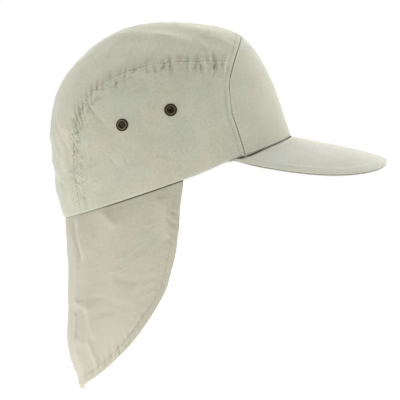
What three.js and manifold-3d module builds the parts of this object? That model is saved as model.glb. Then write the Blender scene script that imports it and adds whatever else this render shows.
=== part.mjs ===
// Legionnaire cap: a cloth crown of a front, a top and two side panels, with a curved peak,
// a neck flap and four vent eyelets.
// Millimetres. +X points forwards over the peak, +Y to the wearer's left and +Z up.
// The origin is the middle of the head opening, whose plane tips down towards the back.
import * as THREE from 'three';
import { mergeVertices } from 'three/addons/utils/BufferGeometryUtils.js';
import Module from 'manifold-3d';

// Head opening and crown
const openingLength = 206;
const openingWidth = 166;
const crownHeight = 133.5;
const rimTilt = 19.3; // degrees that the head opening tips down towards the back
const planPower = 2.1; // 2 is an ellipse in plan, more is squarer
const crownCloth = 1.5; // side and top panels with their taped seams
const frontCloth = 2; // the stiff front panel
const seamGap = 0.3; // kept between neighbouring pieces
const crownFoldHeight = 2;
const crownFoldFade = 27; // height over which the folds grow up from the rim
const normalStep = 0.5; // reach of the differences that the crown's normals are taken from

// Peak
const peakReach = 82; // from the front of the crown to the tip
const peakWidth = 150; // across its rear corners
const peakThickness = 3;
const peakFall = 11.2; // degrees below level along the middle line
const peakCurve = 103; // radius that it is bowed to, side to side
const peakPower = 3; // roundness of the outline, 2 is an ellipse
const peakSpan = 63; // degrees round the opening from the front to a rear corner
const peakTipDrop = 3; // extra fall of the last stretch at the tip
const peakTipPower = 6; // above 1, the extra fall comes later
const peakEdgeRound = 0.9; // how far the edge bulges past its faces
const peakSeatBlend = 8; // distance over which it leaves the crown's edge

// Neck flap
const flapCloth = 1.2;
const flapBackFall = 148; // below the rim, at the middle of the back
const flapSideFall = 92; // below the rim, at the front edges
const flapSpan = 93; // degrees round the opening from the back to a front edge
const flapTuck = 8; // height that is sewn up inside the crown
const flapWidth = 156; // across the front edges, halfway down
const flapFoldHeight = 3.2;
const flapHangShare = 0.3; // share of the fall over which it comes off the crown's edge
const flapFoldShare = 0.15; // share of the fall over which its folds grow

// Eyelets
const eyeletWidth = 10.6;
const eyeletBore = 5.6;
const eyeletMetal = 0.6;
const eyeletDome = 1;
const eyeletClearance = 0.35;
const drillLength = 12;

const halfLength = openingLength / 2;
const halfWidth = openingWidth / 2;
const tilt = THREE.MathUtils.degToRad(rimTilt);

// Grid divisions: neighbouring panels share those of the seam between them
const seamSteps = 30;
const lowerSeamSteps = 10;
const acrossSteps = 12;
const peakSteps = { across: 26, out: 8 };
const peakCrowding = 1.5; // above 1, the grid is finer near the crown
const outlineSamples = 120;
const flapSteps = { across: 44, down: 13 };
const eyeletSides = 16;
const holeSides = 32;
const mergeReach = 0.03; // corners nearer than this are one
const exactReach = 0.003;

// How far the crown stands outside a plain half ellipsoid, by height angle seen from the origin
const crownBulge = {
  columns: ['elevation', 'front', 'back', 'side'],
  rows: [
    [-10, 0.99, 1.008, 0.982],
    [0, 1.002, 1.003, 1.0],
    [10, 1.017, 0.998, 1.022],
    [20, 1.049, 0.992, 1.045],
    [30, 1.091, 1.005, 1.066],
    [38, 1.125, 1.023, 1.081],
    [46, 1.138, 1.036, 1.088],
    [54, 1.104, 1.04, 1.076],
    [62, 1.054, 1.033, 1.045],
    [71, 1.02, 1.014, 1.012],
    [80, 1.005, 1.006, 1.001],
    [90, 1.0, 1.0, 1.0],
    [100, 1.005, 1.006, 1.001],
  ],
};

// Seams on the left half, as shares of the half length, half width and crown height
const topSeam = {
  columns: ['forward', 'across', 'up'],
  rows: [
    [-0.796, 0.636, 0.0],
    [-0.764, 0.66, 0.158],
    [-0.722, 0.676, 0.28],
    [-0.661, 0.7, 0.415],
    [-0.58, 0.717, 0.541],
    [-0.45, 0.743, 0.638],
    [-0.297, 0.773, 0.689],
    [-0.13, 0.795, 0.71],
    [0.056, 0.805, 0.709],
    [0.278, 0.817, 0.672],
    [0.532, 0.775, 0.61],
    [0.731, 0.658, 0.546],
  ],
};
const frontSeamLower = {
  columns: ['forward', 'across', 'up'],
  rows: [
    [0.589, 0.828, 0.0],
    [0.6, 0.837, 0.178],
    [0.604, 0.834, 0.282],
    [0.634, 0.798, 0.385],
    [0.673, 0.742, 0.472],
    [0.731, 0.658, 0.546],
  ],
};
const frontSeamUpper = {
  columns: ['forward', 'across', 'up'],
  rows: [
    [0.731, 0.658, 0.546],
    [0.805, 0.505, 0.622],
    [0.85, 0.36, 0.666],
    [0.888, 0.13, 0.708],
  ],
};

// Soft ridges and dents of the crown: middle, heading along the cloth, reach and breadth
// Middles are shares as above, reach and breadth shares of the half length, height of crownFoldHeight
const crownFolds = {
  columns: ['forward', 'across', 'up', 'turnForward', 'turnAcross', 'turnUp', 'reach', 'breadth', 'height'],
  rows: [
    [0.3, -0.5, 0.87, 1, -0.6, -0.25, 0.3, 0.075, 0.9],
    [0.1, -0.45, 0.93, 1, -0.2, -0.1, 0.32, 0.12, -0.55],
    [0.66, -0.42, 0.76, 1, -0.5, -0.5, 0.2, 0.08, 0.7],
    [0.6, -0.78, 0.5, 0.7, 0.3, -1, 0.2, 0.07, -0.6],
    [-0.84, -0.38, 0.4, 0, 0.1, 1, 0.4, 0.1, -0.8],
    [-0.9, 0.2, 0.52, 0.3, 0.4, 1, 0.3, 0.12, -0.6],
    [0.15, 0.42, 0.93, 1, 0.5, -0.1, 0.3, 0.1, 0.8],
    [-0.45, 0.3, 0.9, 0.8, -0.6, 0.5, 0.3, 0.12, -0.6],
    [0.05, -0.97, 0.2, 1, 0, 0.3, 0.5, 0.16, -0.5],
    [-0.3, 0.95, 0.25, 1, 0, -0.3, 0.45, 0.15, -0.5],
    [0.55, 0.8, 0.48, 0.7, -0.3, -1, 0.2, 0.08, -0.6],
  ],
};

// Flap sections down its fall: back line and front edge stand off the middle, as shares of half length,
// and the breadth is a share of half of flapWidth
const flapSections = {
  columns: ['fall', 'back', 'edge', 'breadth'],
  rows: [
    [0.0, -0.934, 0.05, 1.04],
    [0.22, -0.902, 0.034, 1.03],
    [0.4, -0.902, 0.018, 1.0],
    [0.6, -0.909, 0.006, 0.97],
    [0.74, -0.91, -0.015, 0.94],
    [0.83, -0.886, -0.046, 0.92],
    [0.92, -0.838, -0.058, 0.9],
    [1.0, -0.8, -0.075, 0.88],
  ],
};

// Lower edge of the flap: share of the way round from the back, and rise from back to side depth
const flapCut = {
  columns: ['around', 'rise'],
  rows: [
    [-0.2, 0.045],
    [0.0, 0.0],
    [0.2, 0.045],
    [0.4, 0.15],
    [0.61, 0.33],
    [0.76, 0.51],
    [0.9, 0.76],
    [1.0, 1.0],
    [1.1, 1.3],
  ],
};

// Hanging folds of the flap: where round it, breadth round it, share of the fall where it is deepest,
// reach up and down from there, and height as a share of flapFoldHeight
const flapFolds = {
  columns: ['around', 'breadth', 'fall', 'reach', 'height'],
  rows: [
    [-0.62, 0.09, 0.2, 0.3, 0.55],
    [-0.4, 0.08, 0.15, 0.28, 0.75],
    [-0.3, 0.1, 0.95, 0.45, 1.0],
    [-0.16, 0.08, 0.75, 0.4, -0.9],
    [-0.52, 0.16, 0.75, 0.4, -0.6],
    [-0.82, 0.09, 0.3, 0.25, 0.3],
    [0.1, 0.1, 0.8, 0.5, 0.8],
    [0.3, 0.11, 0.7, 0.45, -0.7],
    [0.5, 0.13, 0.75, 0.4, 0.7],
    [0.78, 0.1, 0.35, 0.3, -0.4],
  ],
};

const eyelets = {
  columns: ['name', 'forward', 'across', 'up'],
  rows: [
    ['rear', -0.261, 0.948, 0.433],
    ['front', 0.146, 0.981, 0.421],
  ],
};

// The value of a column of a table at x, on a smooth curve through its rows
function readTable(table, column, x) {
  const { rows } = table;
  const k = table.columns.indexOf(column);
  const last = rows.length - 1;
  const slope = (i) => {
    const a = rows[Math.max(i - 1, 0)];
    const b = rows[Math.min(i + 1, last)];
    return (b[k] - a[k]) / (b[0] - a[0]);
  };
  let i = 0;
  while (i < last - 1 && x > rows[i + 1][0]) i += 1;
  const step = rows[i + 1][0] - rows[i][0];
  const t = THREE.MathUtils.clamp((x - rows[i][0]) / step, 0, 1);
  const start = 2 * t ** 3 - 3 * t ** 2 + 1;
  const leave = t ** 3 - 2 * t ** 2 + t;
  const arrive = t ** 3 - t ** 2;
  const between = start * rows[i][k] + (1 - start) * rows[i + 1][k];
  return between + step * (leave * slope(i) + arrive * slope(i + 1));
}

// A table's row as an object with the column names
function namedRows(table) {
  return table.rows.map((row) => Object.fromEntries(table.columns.map((name, i) => [name, row[i]])));
}

function fromShares(forward, across, up) {
  return new THREE.Vector3(forward * halfLength, across * halfWidth, up * crownHeight);
}

// Distance from the origin to the plain crown, without folds, in a direction
function plainRadius(direction) {
  const level = Math.hypot(direction.x, direction.y);
  const elevation = THREE.MathUtils.radToDeg(Math.atan2(direction.z, level));
  const forward = level > 0 ? direction.x / level : 0;
  const along = Math.abs(direction.x / halfLength) ** planPower;
  const plan = along + Math.abs(direction.y / halfWidth) ** planPower;
  const plain = 1 / Math.sqrt(plan ** (2 / planPower) + (direction.z / crownHeight) ** 2);
  const end = readTable(crownBulge, forward > 0 ? 'front' : 'back', elevation);
  const side = readTable(crownBulge, 'side', elevation);
  return plain * (end * forward ** 2 + side * (1 - forward ** 2));
}

const foldShapes = namedRows(crownFolds).map((fold) => {
  const middle = fromShares(fold.forward, fold.across, fold.up).normalize();
  middle.multiplyScalar(plainRadius(middle));
  const heading = new THREE.Vector3(fold.turnForward, fold.turnAcross, fold.turnUp);
  heading.addScaledVector(middle, -heading.dot(middle) / middle.lengthSq()).normalize();
  const { height } = fold;
  return { middle, heading, height, reach: fold.reach * halfLength, breadth: fold.breadth * halfLength };
});

// Height of the crown's folds at a place on it, fading to nothing at the rim
function foldHeight(place) {
  let height = 0;
  for (const fold of foldShapes) {
    const away = place.clone().sub(fold.middle);
    const along = away.dot(fold.heading);
    const beside = Math.sqrt(Math.max(away.lengthSq() - along ** 2, 0));
    const fade = (along / fold.reach) ** 2 + (beside / fold.breadth) ** 2;
    height += fold.height * crownFoldHeight * Math.exp(-fade);
  }
  return height * THREE.MathUtils.smoothstep(place.z, 0, crownFoldFade);
}

function onCrown(place) {
  const direction = place.clone().normalize();
  const plain = direction.clone().multiplyScalar(plainRadius(direction));
  return plain.addScaledVector(direction, foldHeight(plain));
}

function crownNormal(place) {
  const side = new THREE.Vector3(-place.y, place.x, 0);
  if (side.length() < normalStep) side.set(0, 1, 0);
  side.setLength(normalStep);
  const rise = new THREE.Vector3().crossVectors(place, side).setLength(normalStep);
  const a = onCrown(place.clone().add(side)).sub(onCrown(place.clone().sub(side)));
  const b = onCrown(place.clone().add(rise)).sub(onCrown(place.clone().sub(rise)));
  const normal = new THREE.Vector3().crossVectors(a, b).normalize();
  return normal.dot(place) < 0 ? normal.negate() : normal;
}

function mirrored(place) {
  return new THREE.Vector3(place.x, -place.y, place.z);
}

// Turns a place from the crown's own frame, whose rim is level, to the worn frame
function worn(place) {
  return place.clone().applyAxisAngle(new THREE.Vector3(0, 1, 0), -tilt);
}

// Rim of the crown at a turn round the opening, 0 at the front and 90 on the left
function rimPoint(degrees) {
  const turn = THREE.MathUtils.degToRad(degrees);
  return onCrown(new THREE.Vector3(halfLength * Math.cos(turn), halfWidth * Math.sin(turn), 0));
}

function turnOfRim(place) {
  return THREE.MathUtils.radToDeg(Math.atan2(place.y / halfWidth, place.x / halfLength));
}

// A seam as a curve on the crown, shifted sideways by an amount within the cloth
function seamCurve(places, shift) {
  const line = new THREE.CatmullRomCurve3(places, false, 'centripetal');
  return (t) => {
    const place = onCrown(line.getPointAt(t));
    const side = new THREE.Vector3().crossVectors(crownNormal(place), line.getTangentAt(t)).normalize();
    return onCrown(place.addScaledVector(side, shift));
  };
}

function tablePlaces(table) {
  return namedRows(table).map((row) => onCrown(fromShares(row.forward, row.across, row.up)));
}

const topSeamPlaces = tablePlaces(topSeam);
const lowerSeamPlaces = tablePlaces(frontSeamLower);
const upperSeamHalf = tablePlaces(frontSeamUpper);
const upperSeamPlaces = [...upperSeamHalf.map(mirrored), ...upperSeamHalf.slice().reverse()];

// Grid of crown places between four edges that meet at their corners
function crownPatch({ bottom, top, start, end }, columns, rows) {
  const grid = [];
  for (let i = 0; i <= columns; i += 1) {
    const s = i / columns;
    const line = [];
    for (let j = 0; j <= rows; j += 1) {
      const t = j / rows;
      const place = bottom(s).multiplyScalar(1 - t).addScaledVector(top(s), t);
      place.addScaledVector(start(t), 1 - s).addScaledVector(end(t), s);
      place.addScaledVector(bottom(0), -(1 - s) * (1 - t)).addScaledVector(bottom(1), -s * (1 - t));
      place.addScaledVector(top(0), -(1 - s) * t).addScaledVector(top(1), -s * t);
      line.push(onCrown(place));
    }
    grid.push(line);
  }
  return grid;
}

// Grid set in from an outer one by a thickness along the crown's normals
function crownLining(grid, thickness) {
  const setIn = (place) => place.clone().addScaledVector(crownNormal(place), -thickness);
  return grid.map((line) => line.map(setIn));
}

// Normals of a grid of places from their neighbours
function gridNormals(grid) {
  const last = grid.length - 1;
  const lowest = grid[0].length - 1;
  return grid.map((line, i) => line.map((place, j) => {
    const along = grid[Math.min(i + 1, last)][j].clone().sub(grid[Math.max(i - 1, 0)][j]);
    const down = line[Math.min(j + 1, lowest)].clone().sub(line[Math.max(j - 1, 0)]);
    return along.cross(down).normalize();
  }));
}

// Closed body through layers of grids, from one face over the rims between them to the other face
function closedBody(layers) {
  const columns = layers[0].length;
  const rows = layers[0][0].length;
  const positions = layers.flat(2).flatMap((place) => place.toArray());
  const index = [];
  const at = (layer, i, j) => (layer * columns + i) * rows + j;
  const quad = (a, b, c, d) => index.push(a, b, c, a, c, d);
  const back = layers.length - 1;
  const right = columns - 1;
  const far = rows - 1;
  for (let i = 0; i < right; i += 1) {
    for (let j = 0; j < far; j += 1) {
      quad(at(0, i, j), at(0, i + 1, j), at(0, i + 1, j + 1), at(0, i, j + 1));
      quad(at(back, i, j), at(back, i, j + 1), at(back, i + 1, j + 1), at(back, i + 1, j));
    }
  }
  for (let layer = 0; layer < back; layer += 1) {
    const next = layer + 1;
    for (let i = 0; i < right; i += 1) {
      quad(at(layer, i, 0), at(next, i, 0), at(next, i + 1, 0), at(layer, i + 1, 0));
      quad(at(layer, i + 1, far), at(next, i + 1, far), at(next, i, far), at(layer, i, far));
    }
    for (let j = 0; j < far; j += 1) {
      quad(at(layer, 0, j + 1), at(next, 0, j + 1), at(next, 0, j), at(layer, 0, j));
      quad(at(layer, right, j), at(next, right, j), at(next, right, j + 1), at(layer, right, j + 1));
    }
  }
  return cleanBody(positions, index);
}

// Merges shared vertices, drops the empty triangles at pointed corners and turns the faces outwards
function cleanBody(positions, index) {
  const loose = new THREE.BufferGeometry();
  loose.setAttribute('position', new THREE.Float32BufferAttribute(positions, 3));
  loose.setIndex(index);
  const merged = mergeVertices(loose, mergeReach);
  const corners = [];
  const all = merged.index.array;
  for (let i = 0; i < all.length; i += 3) {
    const [a, b, c] = [all[i], all[i + 1], all[i + 2]];
    if (a !== b && b !== c && a !== c) corners.push(a, b, c);
  }
  const points = merged.attributes.position;
  const place = (i) => new THREE.Vector3().fromBufferAttribute(points, i);
  let volume = 0;
  for (let i = 0; i < corners.length; i += 3) {
    volume += place(corners[i]).dot(place(corners[i + 1]).cross(place(corners[i + 2])));
  }
  merged.setIndex(volume < 0 ? corners.reverse() : corners);
  return merged;
}

const wasm = await Module();
wasm.setup();

function toSolid(geometry) {
  const bare = geometry.clone();
  bare.deleteAttribute('normal');
  bare.deleteAttribute('uv');
  const merged = mergeVertices(bare, exactReach);
  const vertProperties = new Float32Array(merged.attributes.position.array);
  const triVerts = new Uint32Array(merged.index.array);
  return new wasm.Manifold(new wasm.Mesh({ numProp: 3, vertProperties, triVerts }));
}

function toGeometry(solid) {
  const { vertProperties, triVerts } = solid.getMesh();
  const geometry = new THREE.BufferGeometry();
  geometry.setAttribute('position', new THREE.BufferAttribute(vertProperties, 3));
  geometry.setIndex(new THREE.BufferAttribute(triVerts, 1));
  return geometry;
}

function cloth(name, color) {
  return new THREE.MeshStandardMaterial({ name, color, roughness: 0.95, metalness: 0 });
}

function named(name, geometry, material) {
  const mesh = new THREE.Mesh(geometry, material);
  mesh.name = name;
  return mesh;
}

function frontPanel() {
  const half = seamGap / 2;
  const start = seamCurve(lowerSeamPlaces.map(mirrored), -half);
  const end = seamCurve(lowerSeamPlaces, half);
  const top = seamCurve(upperSeamPlaces, -half);
  const turn = turnOfRim(end(0));
  const bottom = (s) => rimPoint(turn * (2 * s - 1));
  const grid = crownPatch({ bottom, top, start, end }, acrossSteps, lowerSeamSteps);
  const body = closedBody([grid, crownLining(grid, frontCloth)]);
  return named('front_panel', body, cloth('front cloth', 0xbdbca8));
}

function topPanel() {
  const half = seamGap / 2;
  const start = seamCurve(topSeamPlaces.map(mirrored), half);
  const end = seamCurve(topSeamPlaces, -half);
  const top = seamCurve(upperSeamPlaces, half);
  const turn = turnOfRim(end(0));
  const bottom = (s) => rimPoint(-turn + (2 * turn - 360) * s);
  const grid = crownPatch({ bottom, top, start, end }, acrossSteps, seamSteps);
  const body = closedBody([grid, crownLining(grid, crownCloth)]);
  return named('top_panel', body, cloth('top cloth', 0xc2c0ae));
}

function eyeletPlace(row, side) {
  return onCrown(fromShares(row.forward, side * row.across, row.up));
}

const boreWall = eyeletBore / 2 + eyeletMetal;

function sidePanel(name, side) {
  const half = seamGap / 2;
  const flip = (place) => (side > 0 ? place : mirrored(place));
  const top = seamCurve(topSeamPlaces, half);
  const end = seamCurve(lowerSeamPlaces, -half);
  const first = turnOfRim(top(0));
  const last = turnOfRim(end(0));
  const bottom = (s) => rimPoint(first + (last - first) * s);
  const start = (t) => bottom(0).lerp(top(0), t);
  const edges = { bottom, top, start, end };
  const turned = Object.entries(edges).map(([key, curve]) => [key, (t) => flip(curve(t))]);
  const grid = crownPatch(Object.fromEntries(turned), seamSteps, lowerSeamSteps);
  let solid = toSolid(closedBody([grid, crownLining(grid, crownCloth)]));
  for (const row of namedRows(eyelets)) {
    const hole = boreWall + seamGap;
    const drill = new THREE.CylinderGeometry(hole, hole, drillLength, holeSides);
    const place = eyeletPlace(row, side);
    const turn = new THREE.Quaternion().setFromUnitVectors(THREE.Object3D.DEFAULT_UP, crownNormal(place));
    drill.applyQuaternion(turn);
    drill.translate(...place.toArray());
    solid = solid.subtract(toSolid(drill));
  }
  return named(name, toGeometry(solid), cloth('side cloth', 0xbabba8));
}

// One clenched eyelet: domed outer flange, barrel through the cloth and inner flange
function eyelet(name, row, side) {
  const bore = eyeletBore / 2;
  const flange = eyeletWidth / 2;
  const seat = eyeletClearance;
  const inside = -crownCloth - eyeletClearance;
  const profile = [
    [bore, seat + eyeletMetal],
    [boreWall, seat + eyeletDome],
    [(boreWall + flange) / 2, seat + eyeletDome],
    [flange, seat + eyeletMetal],
    [flange, seat],
    [boreWall, seat],
    [boreWall, inside],
    [flange, inside],
    [flange, inside - eyeletMetal],
    [bore, inside - eyeletMetal],
  ];
  const outline = profile.map(([radius, height]) => new THREE.Vector2(radius, height));
  outline.push(outline[0].clone());
  const turned = new THREE.LatheGeometry(outline, eyeletSides);
  const positions = Array.from(turned.attributes.position.array);
  const brass = new THREE.MeshStandardMaterial({ name: 'aged brass', color: 0x6b5f3c });
  brass.roughness = 0.45;
  brass.metalness = 0.9;
  const mesh = named(name, cleanBody(positions, Array.from(turned.index.array)), brass);
  const place = eyeletPlace(row, side);
  mesh.position.copy(place);
  mesh.quaternion.setFromUnitVectors(THREE.Object3D.DEFAULT_UP, crownNormal(place));
  return mesh;
}

const crownFront = worn(rimPoint(0));

// Plan outline of the peak from its right rear corner round the tip to the left one
function makePeakOutline() {
  const corner = worn(rimPoint(peakSpan));
  const length = crownFront.x + peakReach - corner.x;
  const points = [];
  for (let i = 0; i <= outlineSamples; i += 1) {
    const turn = (i / outlineSamples - 0.5) * Math.PI;
    const x = corner.x + length * Math.abs(Math.cos(turn)) ** (2 / peakPower);
    const y = (Math.sign(turn) * peakWidth * Math.abs(Math.sin(turn)) ** (2 / peakPower)) / 2;
    points.push(new THREE.Vector2(x, y));
  }
  return new THREE.SplineCurve(points);
}

const peakOutline = makePeakOutline();

// Top face of the peak and its normal, at a share across and a share of the way out from the crown.
// It lies flat under the crown's edge and bends from there into its bowed shape
function peakPlace(across, out) {
  const rim = rimPoint(across * peakSpan);
  const inset = crownNormal(rim).setZ(0).multiplyScalar(frontCloth);
  const root = worn(rim.sub(inset));
  const edge = peakOutline.getPointAt((across + 1) / 2);
  const x = THREE.MathUtils.lerp(root.x, edge.x, out);
  const y = THREE.MathUtils.lerp(root.y, edge.y, out);
  const tip = THREE.MathUtils.clamp((x - crownFront.x) / peakReach, 0, 1);
  const slope = Math.tan(THREE.MathUtils.degToRad(peakFall));
  const middleLine = crownFront.z - (x - crownFront.x) * slope - peakTipDrop * tip ** peakTipPower;
  const bowed = middleLine - y ** 2 / (2 * peakCurve);
  const seated = x * Math.tan(tilt) - seamGap / Math.cos(tilt);
  const away = Math.hypot(x - root.x, y - root.y);
  const blend = THREE.MathUtils.smoothstep(away, frontCloth + seamGap, peakSeatBlend);
  const place = new THREE.Vector3(x, y, THREE.MathUtils.lerp(seated, bowed, blend));
  const tipSlope = (peakTipPower * peakTipDrop * tip ** (peakTipPower - 1)) / peakReach;
  const bowedNormal = new THREE.Vector3(slope + tipSlope, y / peakCurve, 1).normalize();
  const normal = worn(new THREE.Vector3(0, 0, 1)).lerp(bowedNormal, blend).normalize();
  return { place, normal };
}

// Top, middle and lower grids of the peak; the middle one bulges at the free edge to round it
function peak() {
  const top = [];
  const middle = [];
  const under = [];
  for (let i = 0; i <= peakSteps.across; i += 1) {
    const across = (2 * i) / peakSteps.across - 1;
    const line = [];
    for (let j = 0; j <= peakSteps.out; j += 1) {
      line.push(peakPlace(across, (j / peakSteps.out) ** peakCrowding));
    }
    const lower = (depth) => line.map(({ place, normal }) => (
      place.clone().addScaledVector(normal, -depth)
    ));
    const half = lower(peakThickness / 2);
    const [inner, outer] = line.slice(-2);
    half[peakSteps.out].addScaledVector(outer.place.clone().sub(inner.place).normalize(), peakEdgeRound);
    top.push(line.map(({ place }) => place));
    middle.push(half);
    under.push(lower(peakThickness));
  }
  return named('peak', closedBody([top, middle, under]), cloth('peak cloth', 0xcdcdbf));
}

// Outer face of the flap at a share round it, -1 to 1, and a share down its fall below the rim
function flapPlace(around, fall) {
  const rim = rimPoint(180 - around * flapSpan);
  const hidden = crownCloth + seamGap;
  if (fall < 0) {
    const tucked = onCrown(rim.setZ(-fall * flapTuck));
    return worn(tucked.addScaledVector(crownNormal(tucked), -hidden));
  }
  const root = worn(rim.clone().addScaledVector(crownNormal(rim), -hidden));
  const turn = (around * Math.PI) / 2;
  const share = (column) => readTable(flapSections, column, fall);
  const back = share('back') * halfLength;
  const edge = share('edge') * halfLength;
  const breadth = (share('breadth') * flapWidth) / 2;
  const hung = new THREE.Vector3(edge + (back - edge) * Math.cos(turn), breadth * Math.sin(turn), 0);
  const lowest = worn(rimPoint(180)).z - flapBackFall;
  const sideLowest = worn(rimPoint(180 - flapSpan)).z - flapSideFall;
  const bottom = THREE.MathUtils.lerp(lowest, sideLowest, readTable(flapCut, 'rise', Math.abs(around)));
  const blend = THREE.MathUtils.smoothstep(fall, 0, flapHangShare);
  const place = new THREE.Vector3(root.x, root.y, 0).lerp(hung, blend);
  const outwards = new THREE.Vector3(place.x - edge, place.y, 0).normalize();
  place.addScaledVector(outwards, flapFoldAt(around, fall));
  return place.setZ(THREE.MathUtils.lerp(root.z, bottom, fall));
}

const flapFoldShapes = namedRows(flapFolds);

function flapFoldAt(around, fall) {
  let height = 0;
  for (const fold of flapFoldShapes) {
    const beside = (around - fold.around) / fold.breadth;
    const along = (fall - fold.fall) / fold.reach;
    height += fold.height * flapFoldHeight * Math.exp(-(beside ** 2) - along ** 2);
  }
  return height * THREE.MathUtils.smoothstep(fall, 0, flapFoldShare);
}

function neckFlap() {
  const outer = [];
  for (let i = 0; i <= flapSteps.across; i += 1) {
    const around = (2 * i) / flapSteps.across - 1;
    const line = [flapPlace(around, -1)];
    for (let j = 0; j <= flapSteps.down; j += 1) {
      line.push(flapPlace(around, j / flapSteps.down));
    }
    outer.push(line);
  }
  const normals = gridNormals(outer).map((line, i) => line.map((n, j) => {
    const place = outer[i][j];
    return n.x * place.x + n.y * place.y < 0 ? n.negate() : n;
  }));
  const inner = outer.map((line, i) => line.map((place, j) => (
    place.clone().addScaledVector(normals[i][j], -flapCloth)
  )));
  return named('neck_flap', closedBody([outer, inner]), cloth('flap cloth', 0xc4c0ac));
}

const crown = new THREE.Group();
crown.rotation.y = -tilt;
crown.add(frontPanel(), topPanel());
for (const [hand, side] of [['left', 1], ['right', -1]]) {
  crown.add(sidePanel(`side_panel_${hand}`, side));
  for (const row of namedRows(eyelets)) crown.add(eyelet(`eyelet_${hand}_${row.name}`, row, side));
}

const cap = new THREE.Group();
cap.add(crown, peak(), neckFlap());

export default cap;
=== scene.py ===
import math

import bmesh
import bpy
import numpy as np
from mathutils import Matrix, Vector


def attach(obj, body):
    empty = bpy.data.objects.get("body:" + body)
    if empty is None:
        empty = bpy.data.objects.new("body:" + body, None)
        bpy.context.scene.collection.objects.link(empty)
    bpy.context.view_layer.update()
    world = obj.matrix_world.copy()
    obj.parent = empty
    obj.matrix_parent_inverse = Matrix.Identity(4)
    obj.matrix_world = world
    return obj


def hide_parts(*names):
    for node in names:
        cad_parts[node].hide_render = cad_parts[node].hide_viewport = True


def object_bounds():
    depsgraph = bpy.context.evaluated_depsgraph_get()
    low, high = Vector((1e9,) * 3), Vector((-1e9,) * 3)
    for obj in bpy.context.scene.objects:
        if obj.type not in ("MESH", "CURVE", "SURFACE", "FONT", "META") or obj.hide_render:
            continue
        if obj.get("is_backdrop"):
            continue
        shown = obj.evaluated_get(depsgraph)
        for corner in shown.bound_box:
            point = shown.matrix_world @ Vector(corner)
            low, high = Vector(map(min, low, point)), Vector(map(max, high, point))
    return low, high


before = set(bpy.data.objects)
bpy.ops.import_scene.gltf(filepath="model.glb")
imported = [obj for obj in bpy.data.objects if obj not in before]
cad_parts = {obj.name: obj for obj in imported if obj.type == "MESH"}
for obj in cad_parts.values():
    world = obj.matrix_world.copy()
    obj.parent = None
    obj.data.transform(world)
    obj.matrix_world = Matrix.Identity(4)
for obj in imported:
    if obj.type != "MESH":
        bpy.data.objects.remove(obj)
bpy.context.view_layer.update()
scene = bpy.context.scene

# Lengths are millimetres until a mesh is made. The crown is worked out with its opening level,
# and tipped back to the way it is worn at the end.

crown = {
    "halfLength": 103.0,
    "halfWidth": 83.0,
    "height": 133.5,
    "tilt": math.radians(19.3),
    "planPower": 2.1,
    "sideCloth": 1.5,
    "frontCloth": 2.0,
    "foldFade": 27.0,     # height over which folds grow up from the hem
    "unevenness": 0.4,    # slow waves of the soft cloth
    "crumple": 1.35,      # height of the creases in it
    "stiffShare": 0.4,    # of both that is left on the stiff front panel
    "creaseSize": 16.0,
    "hemDrop": 1.7,       # the hem hangs below the opening behind the peak,
    "hemDropFade": 9.0,   # up to this height
    "hemDropFrom": (15.0, 48.0),
}
halves = np.array([crown["halfLength"], crown["halfWidth"], crown["height"]])

# height angle, then how far front, back and side stand outside a half ellipsoid
crownBulge = np.array([
    (-10, 0.99, 1.008, 0.982), (0, 1.002, 1.003, 1.0), (10, 1.017, 0.998, 1.022),
    (20, 1.049, 0.992, 1.045), (30, 1.091, 1.005, 1.066), (38, 1.125, 1.023, 1.081),
    (46, 1.138, 1.036, 1.088), (54, 1.104, 1.04, 1.076), (62, 1.054, 1.033, 1.045),
    (71, 1.02, 1.014, 1.012), (80, 1.005, 1.006, 1.001), (90, 1.0, 1.0, 1.0),
    (100, 1.005, 1.006, 1.001),
])

# seams of the left half, as shares of half length, half width and height
topSeam = np.array([
    (-0.796, 0.636, 0.0), (-0.764, 0.66, 0.158), (-0.722, 0.676, 0.28), (-0.661, 0.7, 0.415),
    (-0.58, 0.717, 0.541), (-0.45, 0.743, 0.638), (-0.297, 0.773, 0.689), (-0.13, 0.795, 0.71),
    (0.056, 0.805, 0.709), (0.278, 0.817, 0.672), (0.532, 0.775, 0.61), (0.731, 0.658, 0.546),
])
frontSeamLower = np.array([
    (0.589, 0.828, 0.0), (0.6, 0.837, 0.178), (0.604, 0.834, 0.282), (0.634, 0.798, 0.385),
    (0.673, 0.742, 0.472), (0.731, 0.658, 0.546),
])
frontSeamUpper = np.array([
    (0.731, 0.658, 0.546), (0.805, 0.505, 0.622), (0.85, 0.36, 0.666), (0.888, 0.13, 0.708),
])

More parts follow.
